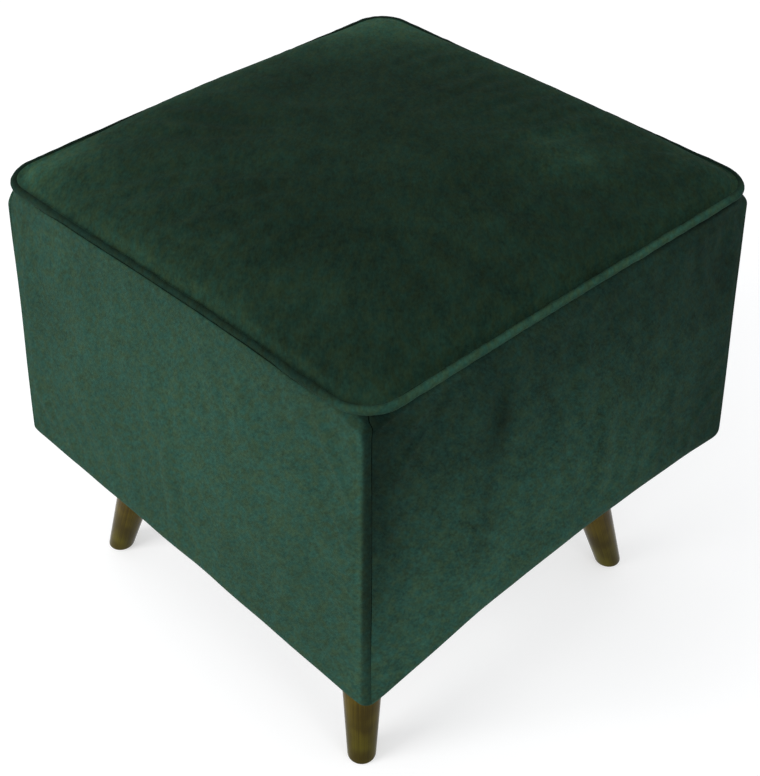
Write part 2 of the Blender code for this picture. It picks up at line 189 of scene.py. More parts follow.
# ---- materials -----------------------------------------------
def linear(hex_colour):
    """An sRGB hex colour as linear red, green, blue and alpha."""
    channels = [int(hex_colour[i:i + 2], 16) / 255.0 for i in (1, 3, 5)]
    return tuple(c / 12.92 if c <= 0.04045 else ((c + 0.055) / 1.055) ** 2.4
                 for c in channels) + (1.0,)


def feed(tree, node, inputs):
    """Set inputs of a node, each to a value or to the output socket that feeds it."""
    for key, value in inputs.items():
        if isinstance(value, bpy.types.NodeSocket):
            tree.links.new(value, node.inputs[key])
        else:
            node.inputs[key].default_value = value


def add_node(tree, kind, inputs=None, **settings):
    made = tree.nodes.new(kind)
    for name, value in settings.items():
        setattr(made, name, value)
    feed(tree, made, inputs or {})
    return made


def new_material(name):
    material = bpy.data.materials.new(name)
    material.use_nodes = True
    return material, material.node_tree, material.node_tree.nodes["Principled BSDF"]


MIX_A, MIX_B, MIX_RESULT = 6, 7, 2     # a colour Mix node's sockets


def velvet(name, pile_line, lit, fine, tufted, mottled):
    """Short-pile cotton velvet, brushed by hand: deep bottle green, dull, lighter where the
    pile stands up and where painted light lies in its stored tone, darker where painted shade
    lies, mottled where its lie changes. pile_line is the turn, as Euler angles, of the line
    that the pile lies along, and lit the colour of standing pile. The last three are how
    strongly it varies over one or two, a few, and ten or more millimetres."""
    material, tree, shader = new_material(name)
    place = add_node(tree, "ShaderNodeTexCoord").outputs["Object"]
    brushed = add_node(tree, "ShaderNodeMapping",
                       {"Vector": place, "Rotation": pile_line,
                        "Scale": (STROKE_STRETCH, 1.0, 1.0)}, vector_type="TEXTURE").outputs[0]
    # the first layer's strokes are 3 mm long and 1.7 mm wide: the pile itself is far finer
    # than a pixel, so this is the coarsest that still reads as brushed pile
    layers = (                 # where it is read, its size in metres, its detail, its share
        (brushed, 0.0017, 1.0, 0.17 * fine), (brushed, 0.0013, 0.0, 0.10 * fine),
        (brushed, 0.0034, 1.0, 0.19 * tufted), (brushed, 0.0100, 1.0, 0.18 * mottled),
        (place, 0.0450, 2.0, 0.17 * mottled))
    fields = [add_node(tree, "ShaderNodeTexNoise",
                       {"Vector": vector, "Scale": 1.0 / size, "Detail": detail}).outputs[0]
              for vector, size, detail, _ in layers]
    shares = [layer[-1] for layer in layers]
    level = 1.0 - sum(shares)
    for field, share in zip(fields, shares):
        level = add_node(tree, "ShaderNodeMath", {0: field, 1: 2.0 * share, 2: level},
                         operation="MULTIPLY_ADD").outputs[0]
    # each point's stored tone: the pile's lie, with painted light and shade
    nap_and_painted_light = add_node(tree, "ShaderNodeAttribute", attribute_name="nap_and_painted_light").outputs["Fac"]
    tone = add_node(tree, "ShaderNodeMath", {0: nap_and_painted_light, 1: level}, operation="MULTIPLY",
                    use_clamp=True)
    green = add_node(tree, "ShaderNodeMix",
                     {0: tone.outputs[0], MIX_A: linear("#020403"), MIX_B: linear(lit)},
                     data_type="RGBA")
    # threads of warm grey and teal show between the tufts, in clouds 5 mm across
    threads = add_node(tree, "ShaderNodeTexNoise",
                       {"Vector": brushed, "Scale": 1.0 / 0.005, "Detail": 3.0})
    hue = add_node(tree, "ShaderNodeMapRange",
                   {"Value": threads.outputs[0], "From Min": 0.36, "From Max": 0.64})
    tint = add_node(tree, "ShaderNodeMix",
                    {0: hue.outputs[0], MIX_A: linear("#def9fc"), MIX_B: linear("#fcedd6")},
                    data_type="RGBA")
    colour = add_node(tree, "ShaderNodeMix",
                      {0: 1.0, MIX_A: green.outputs[MIX_RESULT],
                       MIX_B: tint.outputs[MIX_RESULT]},
                      data_type="RGBA", blend_type="MULTIPLY")
    relief = add_node(tree, "ShaderNodeBump",
                      {"Height": fields[0], "Strength": 0.35, "Distance": 0.0006})
    feed(tree, shader, {
        "Base Color": colour.outputs[MIX_RESULT], "Normal": relief.outputs[0],
        "Roughness": 0.92, "Specular IOR Level": 0.04, "Sheen Weight": 0.03,
        "Sheen Roughness": 0.45, "Sheen Tint": linear("#7fae95")})
    return material


def lacquered_wood():
    """Turned beech, stained olive brown and lacquered: faint grain along the leg under a
    thin, clear coat with a weak gloss."""
    material, tree, shader = new_material("lacquered_beech")
    place = add_node(tree, "ShaderNodeTexCoord").outputs["Object"]
    along = add_node(tree, "ShaderNodeUVMap", uv_map="round_and_along").outputs[0]
    # growth rings show as streaks 1.3 mm wide that run 90 mm up the leg
    grain_place = add_node(tree, "ShaderNodeMapping",
                           {"Vector": along, "Scale": (0.0013, 0.09, 1.0)},
                           vector_type="TEXTURE")
    grain = add_node(tree, "ShaderNodeTexNoise",
                     {"Vector": grain_place.outputs[0], "Scale": 1.0, "Detail": 3.0}).outputs[0]
    # the stain turns from olive at the foot to brown at the top
    height = add_node(tree, "ShaderNodeSeparateXYZ", {0: place}).outputs[2]
    rise = add_node(tree, "ShaderNodeMapRange",
                    {"Value": height, "From Min": 0.02, "From Max": 0.13})
    stain = add_node(tree, "ShaderNodeMix",
                     {0: rise.outputs[0], MIX_A: linear("#433d0a"), MIX_B: linear("#4d3808")},
                     data_type="RGBA")
    # it took unevenly, in patches 20 mm across, and more along the rings
    patches = add_node(tree, "ShaderNodeTexNoise",
                       {"Vector": place, "Scale": 1.0 / 0.020, "Detail": 1.0})
    uneven = add_node(tree, "ShaderNodeMath", {0: grain, 1: 0.8, 2: patches.outputs[0]},
                      operation="MULTIPLY_ADD")
    dark = add_node(tree, "ShaderNodeMapRange",
                    {"Value": uneven.outputs[0], "From Min": 0.72, "From Max": 1.08,
                     "To Min": 0.0, "To Max": 0.75})
    colour = add_node(tree, "ShaderNodeMix",
                      {0: dark.outputs[0], MIX_A: stain.outputs[MIX_RESULT],
                       MIX_B: linear("#281f03")}, data_type="RGBA")
    relief = add_node(tree, "ShaderNodeBump",
                      {"Height": grain, "Strength": 0.12, "Distance": 0.0003})
    feed(tree, shader, {
        "Base Color": colour.outputs[MIX_RESULT], "Normal": relief.outputs[0],
        "Roughness": 0.22, "IOR": 1.16, "Coat Weight": 0.03, "Coat Roughness": 0.10})
    return material


def dust_cover():
    """Spun-bonded lining cloth under the seat: charcoal, dull, with pressed fibres."""
    material, tree, shader = new_material("spunbonded_lining")
    place = add_node(tree, "ShaderNodeTexCoord").outputs["Object"]
    # the real bond points are under 1 mm apart; they are drawn 2 mm apart so that they show
    bonds = add_node(tree, "ShaderNodeTexVoronoi", {"Vector": place, "Scale": 1.0 / 0.002})
    # the fibres lie in clouds 6 mm across
    fibres = add_node(tree, "ShaderNodeTexNoise",
                      {"Vector": place, "Scale": 1.0 / 0.006, "Detail": 4.0})
    mixed = add_node(tree, "ShaderNodeMath",
                     {0: bonds.outputs["Distance"], 1: 0.4, 2: fibres.outputs[0]},
                     operation="MULTIPLY_ADD", use_clamp=True)
    colour = add_node(tree, "ShaderNodeMix",
                      {0: mixed.outputs[0], MIX_A: linear("#161718"),
                       MIX_B: linear("#2e302f")}, data_type="RGBA")
    relief = add_node(tree, "ShaderNodeBump",
                      {"Height": mixed.outputs[0], "Strength": 0.4, "Distance": 0.0004})
    feed(tree, shader, {
        "Base Color": colour.outputs[MIX_RESULT], "Normal": relief.outputs[0],
        "Roughness": 0.95, "Specular IOR Level": 0.2})
    return material


# ---- helpers for shapes and shades ---------------------------
def smoothstep(value):
    value = np.clip(value, 0.0, 1.0)
    return value * value * (3.0 - 2.0 * value)


def bell(distance, width):
    return np.exp(-(distance / width) ** 2)


def stripe(value, middle, width):
    """1 on the middle line of a stripe, fading out over its width on both sides."""
    return bell(value - middle, width)


def spot(x, y, middle, radius):
    """1 in the middle of a round spot, fading out over its radius."""
    return bell(np.hypot(x - middle[0], y - middle[1]), radius)


def beyond(value, start, over):
    """0 up to the start, and then up to 1 over a distance."""
    return smoothstep((value - start) / over)


def short_of(value, end, over):
    """0 from the end on, and before it up to 1 over a distance."""
    return smoothstep((end - value) / over)


def lumps(places, size, seed):
    """Smooth random values, about -1 to 1, at places measured in lumps of this size."""
    scale = 1.0 / np.array(size)
    return np.array([noise.noise(Vector(p) + Vector((seed, 2.3 * seed, -seed)))
                     for p in (places * scale).tolist()])


def flat_lumps(x, y, size, seed):
    """The same over the plan, equal at every height."""
    flat = np.stack([x, y, np.zeros_like(x)], axis=-1).reshape(-1, 3)
    return lumps(flat, (size, size, 1.0), seed).reshape(x.shape)


def turned(points, quarter):
    """Points turned by quarter turns about the upright axis."""
    cosine, sine = round(math.cos(quarter * math.pi / 2)), round(math.sin(quarter * math.pi / 2))
    x, y = points[..., 0], points[..., 1]
    return np.stack([cosine * x - sine * y, sine * x + cosine * y, points[..., 2]], axis=-1)


# ---- shape of the box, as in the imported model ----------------
def settle(points):
    """Move points with the wave of the sewn edge, which fades out down the sides."""
    x, y, z = points[..., 0], points[..., 1], points[..., 2]
    along_x = np.sin(2.0 * math.pi * x / WAVE_LENGTH + WAVE_START[0])
    along_y = np.sin(2.0 * math.pi * y / WAVE_LENGTH + WAVE_START[1])
    rise = WELT_WAVE * (along_x * (WAVE_SHARE[0] - WAVE_LEAN * y / WELT_HALF)
                        + WAVE_SHARE[1] * along_y)
    for (sign_x, sign_y), corner in CORNERS.items():
        near_x = np.maximum(0.5 + 0.5 * sign_x * x / WELT_HALF, 0.0)
        near_y = np.maximum(0.5 + 0.5 * sign_y * y / WELT_HALF, 0.0)
        rise = rise + corner["rise"] * (near_x * near_y) ** 3
    depth = WELT_HEIGHT - z
    weight = short_of(depth, WAVE_FADE_TO, WAVE_FADE_TO - WAVE_FADE_FROM)
    stray = WANDER * flat_lumps(x, y, WANDER_LENGTH, seed=83.0)
    from_edge = np.abs(np.maximum(np.abs(x), np.abs(y)) - WELT_HALF)
    moved = points.copy()
    moved[..., 2] += weight * rise + stray * np.exp(-from_edge / WANDER_ACROSS) * np.exp(
        -np.abs(depth) / WANDER_DOWN)
    return moved


def graded_lines(half, edge_lines, step):
    """Places from -half to half: the edge lines' insets at both ends, even steps between."""
    inner = half - edge_lines[-1]
    count = round(2.0 * inner / step)
    edges = np.array(edge_lines[:-1])
    return np.concatenate([edges - half, np.linspace(-inner, inner, count + 1),
                           half - edges[::-1]])


def crown_rise(x, y, inset):
    """Height of the filled top over its sewn edge."""
    cornerness = np.minimum(np.abs(x * y) / TOP_EDGE_HALF ** 2, 1.0) ** 2
    corner = np.zeros_like(x)
    for (sign_x, sign_y), values in CORNERS.items():
        mine = ((x >= 0.0) == (sign_x > 0)) & ((y >= 0.0) == (sign_y > 0))
        corner[mine] = values["crown"]
    edge_rise = CROWN_MIDDLE - (CROWN_MIDDLE - corner) * cornerness
    along = np.minimum(inset / CROWN_REACH, 1.0)
    across = (np.cos(math.pi / 2.0 * x / TOP_EDGE_HALF)
              * np.cos(math.pi / 2.0 * y / TOP_EDGE_HALF))
    return edge_rise * np.sqrt(1.0 - (1.0 - along) ** 2) + np.maximum(CROWN_DOME * across, 0.0)


def top_inset(x, y):
    """Distance in from the edge of the top's cloth, a square with rounded corners."""
    out_x, out_y = np.abs(x) - TOP_RUN, np.abs(y) - TOP_RUN
    straight = TOP_CORNER - np.maximum(out_x, out_y)
    rounded = TOP_CORNER - np.hypot(out_x, out_y)
    return np.where((out_x > 0.0) & (out_y > 0.0), rounded, straight)


def top_grid():
    """Rows of points over the top, its corners rounded like the piping."""
    lines = graded_lines(CLOTH_HALF, TOP_EDGE_LINES, CLOTH_STEP)
    x, y = np.meshgrid(lines, lines, indexing="ij")
    out_x = np.clip((np.abs(x) - TOP_RUN) / TOP_CORNER, 0.0, 1.0)
    out_y = np.clip((np.abs(y) - TOP_RUN) / TOP_CORNER, 0.0, 1.0)
    round_x = TOP_RUN + TOP_CORNER * out_x * np.sqrt(1.0 - out_y ** 2 / 2.0)
    round_y = TOP_RUN + TOP_CORNER * out_y * np.sqrt(1.0 - out_x ** 2 / 2.0)
    new_x = np.where(out_x > 0.0, round_x, np.abs(x)) * np.sign(x)
    new_y = np.where(out_y > 0.0, round_y, np.abs(y)) * np.sign(y)
    inset = np.maximum(top_inset(new_x, new_y), 0.0)
    crowned = TOP_SEAM_HEIGHT + crown_rise(new_x, new_y, np.maximum(inset - TOP_OVER_CORD, 0.0))
    on_cord = WELT_HEIGHT + TOP_EDGE_LIFT
    height = on_cord + (crowned - on_cord) * smoothstep(inset / TOP_SEWN)
    # along the front edge, up to its corners, the cloth lies further over the cord
    over = (TOP_FRONT_OVER * beyond(-new_y, start=0.190, over=0.012)
            * short_of(np.abs(new_x), end=0.185, over=0.06)
            * smoothstep(1.0 - inset / TOP_SEWN))
    new_y -= over
    height += TOP_FRONT_RISE * over
    return settle(np.stack([new_x, new_y, height], axis=-1))


def side_columns():
    """Where the upright lines of a side lie: shares of the turn to its first seam, places
    across the face, and shares of the turn to its last seam."""
    start = [("arc", share) for share in START_SHARES]
    count = round(2.0 * WELT_HALF / CLOTH_STEP)
    widest = math.cos(math.pi * FACE_CROWDING)
    face = [("face", -math.cos(math.pi * (FACE_CROWDING + (1.0 - 2.0 * FACE_CROWDING)
                                          * i / count)) / widest)
            for i in range(count + 1)]
    end = [("arc", 1.0 - (1.0 - i / END_LINES) ** END_CROWDING)
           for i in range(1, END_LINES + 1)]
    return start + face + end


def corner_radius(depth, drop):
    """Plan radius of an upright edge, which narrows below the piping's own corner."""
    narrowing = beyond(depth, SHOULDER_FROM, drop)
    return PIPING_CORNER + (UPRIGHT_CORNER - PIPING_CORNER) * narrowing


def side_grid(name, quarter):
    """Columns of points over a side, top seam to underside, facing +X before the turn."""
    start_corner, end_corner = FACE_STARTS[quarter], FACE_STARTS[(quarter + 1) % 4]
    start, end = CORNERS[start_corner]["hem"], CORNERS[end_corner]["hem"]
    start_drop = SHORT_DROPS.get(start_corner, SHOULDER_DROP)
    end_drop = SHORT_DROPS.get(end_corner, SHOULDER_DROP)
    plain = np.array(SHOULDER)
    swollen = np.array(FULL_SHOULDER if name == "side_front" else SHOULDER)
    grid = []
    for kind, value in side_columns():
        along = value if kind == "face" else math.copysign(1.0, value)
        share = (along + 1.0) / 2.0
        shoulder = plain + (swollen - plain) * smoothstep(
            (1.0 - abs(along)) / FULL_SHOULDER_ENDS)
        hem = start + (end - start) * share
        hem += (HEM_MIDDLE[name] - (start + end) / 2.0) * (1.0 - along * along)
        first, last = shoulder[-1, 1] + FIRST_ROW, FACE_HEIGHT - hem
        spread = np.linspace(0.0, 1.0, round(FACE_HEIGHT / CLOTH_STEP))
        depths = first + (last - first) * (
            ROW_CROWDING * spread ** 2 + (1.0 - ROW_CROWDING) * spread)
        turns = np.linspace(0.0, math.pi / 2.0, HEM_STEPS + 1)[1:]
        swell = (shoulder[-1, 0] - SIDE_PROUD) * np.exp(
            -(depths - shoulder[-1, 1]) / FULL_SHOULDER_FADE)
        offset = np.concatenate([shoulder[:, 0], SIDE_PROUD + swell,
                                 SIDE_PROUD - hem * (1.0 - np.cos(turns))])
        depth = np.concatenate([shoulder[:, 1], depths,
                                FACE_HEIGHT - hem * (1.0 - np.sin(turns))])
        radius = (corner_radius(depth, start_drop) * (1.0 - share)
                  + corner_radius(depth, end_drop) * share)
        narrowing = (PIPING_CORNER - radius) / (PIPING_CORNER - UPRIGHT_CORNER)
        seam_turn = SEAM_TURN_TOP + (SEAM_TURN - SEAM_TURN_TOP) * narrowing ** 2
        radius[:len(shoulder)] += offset[:len(shoulder)]
        fall = depth / FACE_HEIGHT
        draw = narrowing * (CORNER_DRAW + (CORNER_DRAW_FOOT - CORNER_DRAW) * fall)
        reach = SIDE_FLARE * fall + SIDE_BULGE * np.sin(math.pi * fall) * (1.0 - along ** 2)
        half = WELT_HALF + offset + reach
        run = half - draw - radius
        if kind == "face":
            pull = max(abs(value) - CORNER_DRAW_FROM, 0.0) / (1.0 - CORNER_DRAW_FROM)
            x, y = half - draw * pull ** 2, value * run
        else:
            whole = seam_turn if value > 0.0 else 90.0 - seam_turn
            angle, sign = np.radians(abs(value) * whole), math.copysign(1.0, value)
            x, y = run + radius * np.cos(angle), sign * (run + radius * np.sin(angle))
        grid.append(np.stack([x, y, WELT_HEIGHT - depth], axis=-1))
    return np.array(grid)


def grid_faces(columns, rows):
    first = (np.arange(columns - 1)[:, None] * rows + np.arange(rows - 1)[None, :]).ravel()
    return np.stack([first, first + rows, first + rows + 1, first + 1], axis=1)


def grid_border(columns, rows):
    """Indices once round the edge of a grid, in the sense of its faces."""
    down = [i * rows for i in range(columns)]
    across = [(columns - 1) * rows + j for j in range(1, rows)]
    up = [i * rows + rows - 1 for i in range(columns - 2, -1, -1)]
    return down + across + up + [j for j in range(rows - 2, 0, -1)]


# ---- making a padded piece -----------------------------------
def new_object(name, data):
    made = bpy.data.objects.new(name, data)
    bpy.context.scene.collection.objects.link(made)
    return made


def filled(name, grid, held):
    """Blow a panel's cloth out over its filling. held marks the points that are sewn down."""
    columns, rows = grid.shape[:2]
    mesh = bpy.data.meshes.new(name + "_cloth")
    mesh.from_pydata(grid.reshape(-1, 3).tolist(), [], grid_faces(columns, rows).tolist())
    cloth = new_object(name + "_cloth", mesh)
    sewn = cloth.vertex_groups.new(name="sewn")
    sewn.add(np.flatnonzero(held.ravel()).tolist(), 1.0, "REPLACE")
    modifier = cloth.modifiers.new("filling", "CLOTH")
    for setting, value in CLOTH_SETTINGS.items():
        setattr(modifier.settings, setting, value)
    modifier.settings.effector_weights.gravity = 0.0
    modifier.point_cache.frame_start, modifier.point_cache.frame_end = 1, CLOTH_FRAMES
    for step in range(1, CLOTH_FRAMES + 1):
        bpy.context.scene.frame_set(step)
    shaped = cloth.evaluated_get(bpy.context.evaluated_depsgraph_get())
    points = np.empty(len(mesh.vertices) * 3)
    shaped.data.vertices.foreach_get("co", points)
    bpy.context.scene.frame_set(1)
    bpy.data.objects.remove(cloth)
    bpy.data.meshes.remove(mesh)
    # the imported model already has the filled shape, so only the folds and hollows that the
    # cloth makes in it are kept
    move = points.reshape(grid.shape) - grid
    folds = move - evened(move, FOLD_PASSES)
    loose = evened((~held).astype(float)[..., None], SEWN_PASSES)
    free = smoothstep(SEWN_FADE * (loose - 0.5))
    length = np.linalg.norm(folds, axis=-1, keepdims=True)
    capped = DEEPEST_FOLD * np.tanh(length / DEEPEST_FOLD)
    return grid + folds * free * (capped / np.maximum(length, 1e-9))


def evened(field, passes):
    """A field over a grid with its small changes smoothed out."""
    for _ in range(passes):
        padded = np.pad(field, ((1, 1), (1, 1), (0, 0)), mode="edge")
        field = (padded[:-2, 1:-1] + padded[2:, 1:-1] + padded[1:-1, :-2]
                 + padded[1:-1, 2:]) / 4.0
    return field


def closed_piece(name, grid, back, material):
    """A solid piece: the cloth grid, a wall from its border to the ring of points behind it,
    and a flat back. One subdivision rounds all but the back, whose many sides would take
    minutes to subdivide."""
    columns, rows = grid.shape[:2]
    border = grid_border(columns, rows)
    count = len(border)
    edge = grid.reshape(-1, 3)[border]
    # a ring just behind the border keeps the subdivision from drawing the seams apart
    length = np.linalg.norm(back - edge, axis=1, keepdims=True)
    behind = edge + (back - edge) * np.minimum(SEAM_EDGE / length, 0.5)
    rings = [np.array(border), columns * rows + np.arange(count),
             columns * rows + count + np.arange(count)]
    points = np.concatenate([grid.reshape(-1, 3), behind, back])
    faces = grid_faces(columns, rows).tolist()
    for outer, inner in zip(rings, rings[1:]):
        faces += np.stack([np.roll(outer, -1), outer, inner, np.roll(inner, -1)],
                          axis=1).tolist()
    mesh = bpy.data.meshes.new(name)
    mesh.from_pydata(points.tolist(), [], faces)
    piece = new_object(name, mesh)
    finer = piece.modifiers.new("finer", "SUBSURF")
    finer.levels = finer.render_levels = 1
    made_plain(piece, finer)
    piece.data.materials.clear()
    piece.data.materials.append(material)
    outward_faces(piece)
    return piece


def made_plain(piece, modifier):
    """Replace a piece's mesh by what its modifier makes of it."""
    before = piece.data
    evaluated = piece.evaluated_get(bpy.context.evaluated_depsgraph_get())
    piece.data = bpy.data.meshes.new_from_object(evaluated)
    piece.modifiers.remove(modifier)
    bpy.data.meshes.remove(before)
    piece.data.name = piece.name


def outward_faces(piece):
    """Close what is open, and point every face outwards."""
    bm = bmesh.new()
    bm.from_mesh(piece.data)
    bmesh.ops.holes_fill(bm, edges=bm.edges)
    bmesh.ops.recalc_face_normals(bm, faces=bm.faces)
    bm.to_mesh(piece.data)
    bm.free()
    piece.data.shade_smooth()


def point_values(points, attribute):
    values = np.empty(len(points) * 3)
    points.foreach_get(attribute, values)
    return values.reshape(-1, 3)


def add_relief(piece, relief):
    """Move each point along its normal by the relief, and return where they all were."""
    places = point_values(piece.data.vertices, "co")
    normals = point_values(piece.data.vertices, "normal")
    piece.data.vertices.foreach_set("co", (places + normals * relief(places)[:, None]).ravel())
    piece.data.update()
    return places


def store_pile_and_light(piece, tones):
    """Store each point's tone for the velvet: the pile's lie, with painted light and shade."""
    nap_and_painted_light = piece.data.attributes.new("nap_and_painted_light", "FLOAT", "POINT")
    nap_and_painted_light.data.foreach_set("value", np.clip(tones, 0.02, 1.0))
    piece.data.update()


# ---- top panel -----------------------------------------------
def top_relief(places):
    """Soft unevenness of the filling, puckers along the seam, and a crease that runs
    inside the right-hand corner."""
    x, y, z = places.T
    inset = np.maximum(top_inset(x, y), 0.0)
    inside = beyond(inset, TOP_LUMPS_FROM, TOP_LUMPS_FADE)
    broad = TOP_LUMPS[0] * flat_lumps(x, y, TOP_LUMPS[1], seed=3.0)
    puckers = TOP_PUCKERS[0] * flat_lumps(x, y, TOP_PUCKERS[1], seed=11.0)
    puckers *= np.exp(-inset / TOP_PUCKER_REACH)
    to_middle = np.hypot(x - CREASE_MIDDLE, y - CREASE_MIDDLE)
    in_corner = (x > CREASE_MIDDLE) & (y > CREASE_MIDDLE)
    crease = CREASE_DEPTH * bell(to_middle - CREASE_RADIUS, CREASE_WIDTH) * in_corner
    upper = z > TOP_UNDERSIDE + TOP_RELIEF_FROM
    return ((broad + puckers) * inside - crease) * upper


# The functions named for pile and light give each point's tone, 0 for dark and 1 for light:
# partly the lie of the pile and partly painted light and shade. The first number of each term
# is how much lighter or darker it makes the pile, and the others are places and widths in
# metres.
def top_pile_and_light(places):
    """Darkest in the middle, its low tone partly painted shade; painted sheen along the rounded
    edges and at two corners; the pile stands up in one brushed patch."""
    x, y, _ = places.T
    wander = flat_lumps(x, y, size=0.030, seed=7.0)
    # the low base tone is partly the pile's lie and partly painted shade
    tone = 0.205 + 0.022 * wander + 0.03 * flat_lumps(x, y, size=0.07, seed=23.0)
    # painted sheen along the top's rounded edges and at its left and back corners
    to_right = beyond(x, start=0.02, over=0.16) * 0.8
    tone += 0.085 * stripe(y, middle=-CLOTH_HALF, width=0.055) * (1.0 - to_right)
    tone += 0.03 * stripe(x, middle=CLOTH_HALF, width=0.020)
    tone += 0.14 * stripe(x, middle=-CLOTH_HALF, width=0.030)
    tone += 0.12 * stripe(y, middle=CLOTH_HALF, width=0.030)
    tone += 0.20 * spot(x, y, middle=(-0.20, -0.19), radius=0.050)
    tone += 0.37 * spot(x, y, middle=(-0.19, 0.19), radius=0.065)
    tone += 0.16 * spot(x, y, middle=(0.10, 0.113), radius=0.034) * (1.0 + wander)
    return tone - 0.035 * spot(x, y, middle=(0.03, -0.10), radius=0.060)


def make_top_panel(material):
    grid = top_grid()
    columns, rows = grid.shape[:2]
    inset = np.maximum(top_inset(grid[..., 0], grid[..., 1]), 0.0)
    grid = filled("top_panel", grid, inset < TOP_SEWN)
    back = grid.reshape(-1, 3)[grid_border(columns, rows)]
    back[:, :2] *= (TOP_EDGE_HALF - TOP_BACK_INSET) / CLOTH_HALF
    back[:, 2] -= WELT_HEIGHT + TOP_EDGE_LIFT - TOP_UNDERSIDE
    piece = closed_piece("top_panel_velvet", grid, back, material)
    store_pile_and_light(piece, top_pile_and_light(add_relief(piece, top_relief)))
    return piece


# ---- side panels ---------------------------------------------
def side_relief(places, seed):
    """Unevenness of the filling, drawn out upright, and puckers under the piping."""
    x, y, z = places.T
    depth = WELT_HEIGHT - z
    cloth = np.maximum(np.abs(x), np.abs(y)) > SIDE_CLOTH_FROM
    under = beyond(depth, SIDE_RELIEF_FROM, SIDE_RELIEF_FADE)
    broad = SIDE_LUMPS[0] * lumps(places, SIDE_LUMPS[1], seed)
    puckers = SIDE_PUCKERS[0] * lumps(places, SIDE_PUCKERS[1], seed + PUCKER_SEED_STEP)
    puckers *= np.exp(-np.maximum(depth - SIDE_PUCKERS_FROM, 0.0) / SIDE_PUCKER_REACH)
    return (broad + puckers) * under * cloth


def front_pile_and_light(places):
    """Light and even, a little lighter in the middle, with a painted highlight beside the
    turned edge and painted shade under the piping, on the turned edge and in the tuck.
    """
    x, _, z = places.T
    depth = WELT_HEIGHT - z
    to_edge = WELT_HALF + SIDE_PROUD + SIDE_FLARE * depth / FACE_HEIGHT - x
    tone = 0.373 + 0.030 * lumps(places, size=(0.05, 0.05, 0.07), seed=31.0)
    tone += 0.045 * spot(x, depth, middle=(0.03, 0.11), radius=0.07)
    # a painted highlight beside the turned edge
    tone += 0.04 * stripe(to_edge, middle=0.0100, width=0.0030)
    # painted shade under the piping, and darker towards the far end
    tone -= 0.05 * np.exp(-depth / PAINTED_SHADE_UNDER_PIPING) + 0.02 * stripe(x, middle=-0.21, width=0.05)
    # painted shade on the turned edge beside the front seam, less towards the hem, and wider
    # # in the tuck under the piping's corner, which has a painted shade of its own
    edge_width = 0.0078 + 0.007 * np.exp(-np.maximum(depth - 0.006, 0.0) / 0.005)
    darker = 0.60 - 0.34 * beyond(depth, start=0.15, over=0.10)
    tone *= 1.0 - darker * short_of(to_edge, end=edge_width, over=0.0032)
    tuck = stripe(x, middle=0.205, width=0.010) * stripe(depth, middle=0.006, width=0.005)
    return tone * (1.0 - 0.30 * tuck)


def right_pile_and_light(places):
    """Painted shade under the piping and at the far end, painted light towards the hem and
    the front.
    """
    _, y, z = places.T
    depth = WELT_HEIGHT - z
    # painted light and shade: dark under the piping, lighter towards the hem and the front
    low = beyond(depth, start=0.02, over=0.22)
    along = (y + 0.21) / 0.42
    top_tone, low_tone = 0.236 - 0.066 * along, 0.57 - 0.36 * along ** 2
    tone = top_tone + (low_tone - top_tone) * low
    # painted shade in a band beside the front seam
    tone -= (0.115 * stripe(y, middle=-0.204, width=0.024)
             * short_of(depth, end=0.235, over=0.10))
    tone += 0.03 * stripe(y, middle=0.0, width=0.08) * stripe(depth, middle=0.12, width=0.08)
    # painted shade towards the far end
    tone -= 0.02 * beyond(y, start=0.06, over=0.12)
    # painted shade under the far half of the piping, along the front seam and in the tuck under
    # # the piping's front corner
    tone *= 1.0 - (0.50 * stripe(depth, middle=0.0062, width=0.0028)
                   * beyond(y, start=0.02, over=0.10))
    tone -= 0.08 * stripe(y, middle=-0.215, width=0.004)
    flatness = 1.7             # how much wider than high the tuck's painted shade is
    tone *= 1.0 - 0.38 * bell(np.hypot(y + 0.200, flatness * (depth - 0.010)), 0.024)
    # painted shade of one wrinkle, and a second shade beside it, run down from under the piping
    wrinkle = y + 0.10 * (depth - 0.06)
    tone -= (0.08 * stripe(wrinkle, middle=-0.085, width=0.010)
             * stripe(depth, middle=0.075, width=0.035))
    tone -= (0.070 * stripe(y, middle=-0.098, width=0.006)
             * stripe(depth, middle=0.150, width=0.045))
    return tone + 0.035 * lumps(places, size=(0.035, 0.035, 0.09), seed=37.0)


def hidden_pile_and_shade(places):
    """Even, with painted shade under the piping."""
    depth = WELT_HEIGHT - places[:, 2]
    tone = 0.38 + 0.05 * lumps(places, size=(0.05, 0.05, 0.07), seed=41.0)
    # painted shade under the piping
    return tone - 0.05 * np.exp(-depth / PAINTED_SHADE_UNDER_PIPING)


def seam_roll(distance, width, deepest):
    """How far the cloth is rolled in at a distance from an upright seam."""
    near = np.clip(distance / width, 0.0, 1.0)
    return deepest * (1.0 - np.sqrt(1.0 - (1.0 - near) ** 2))


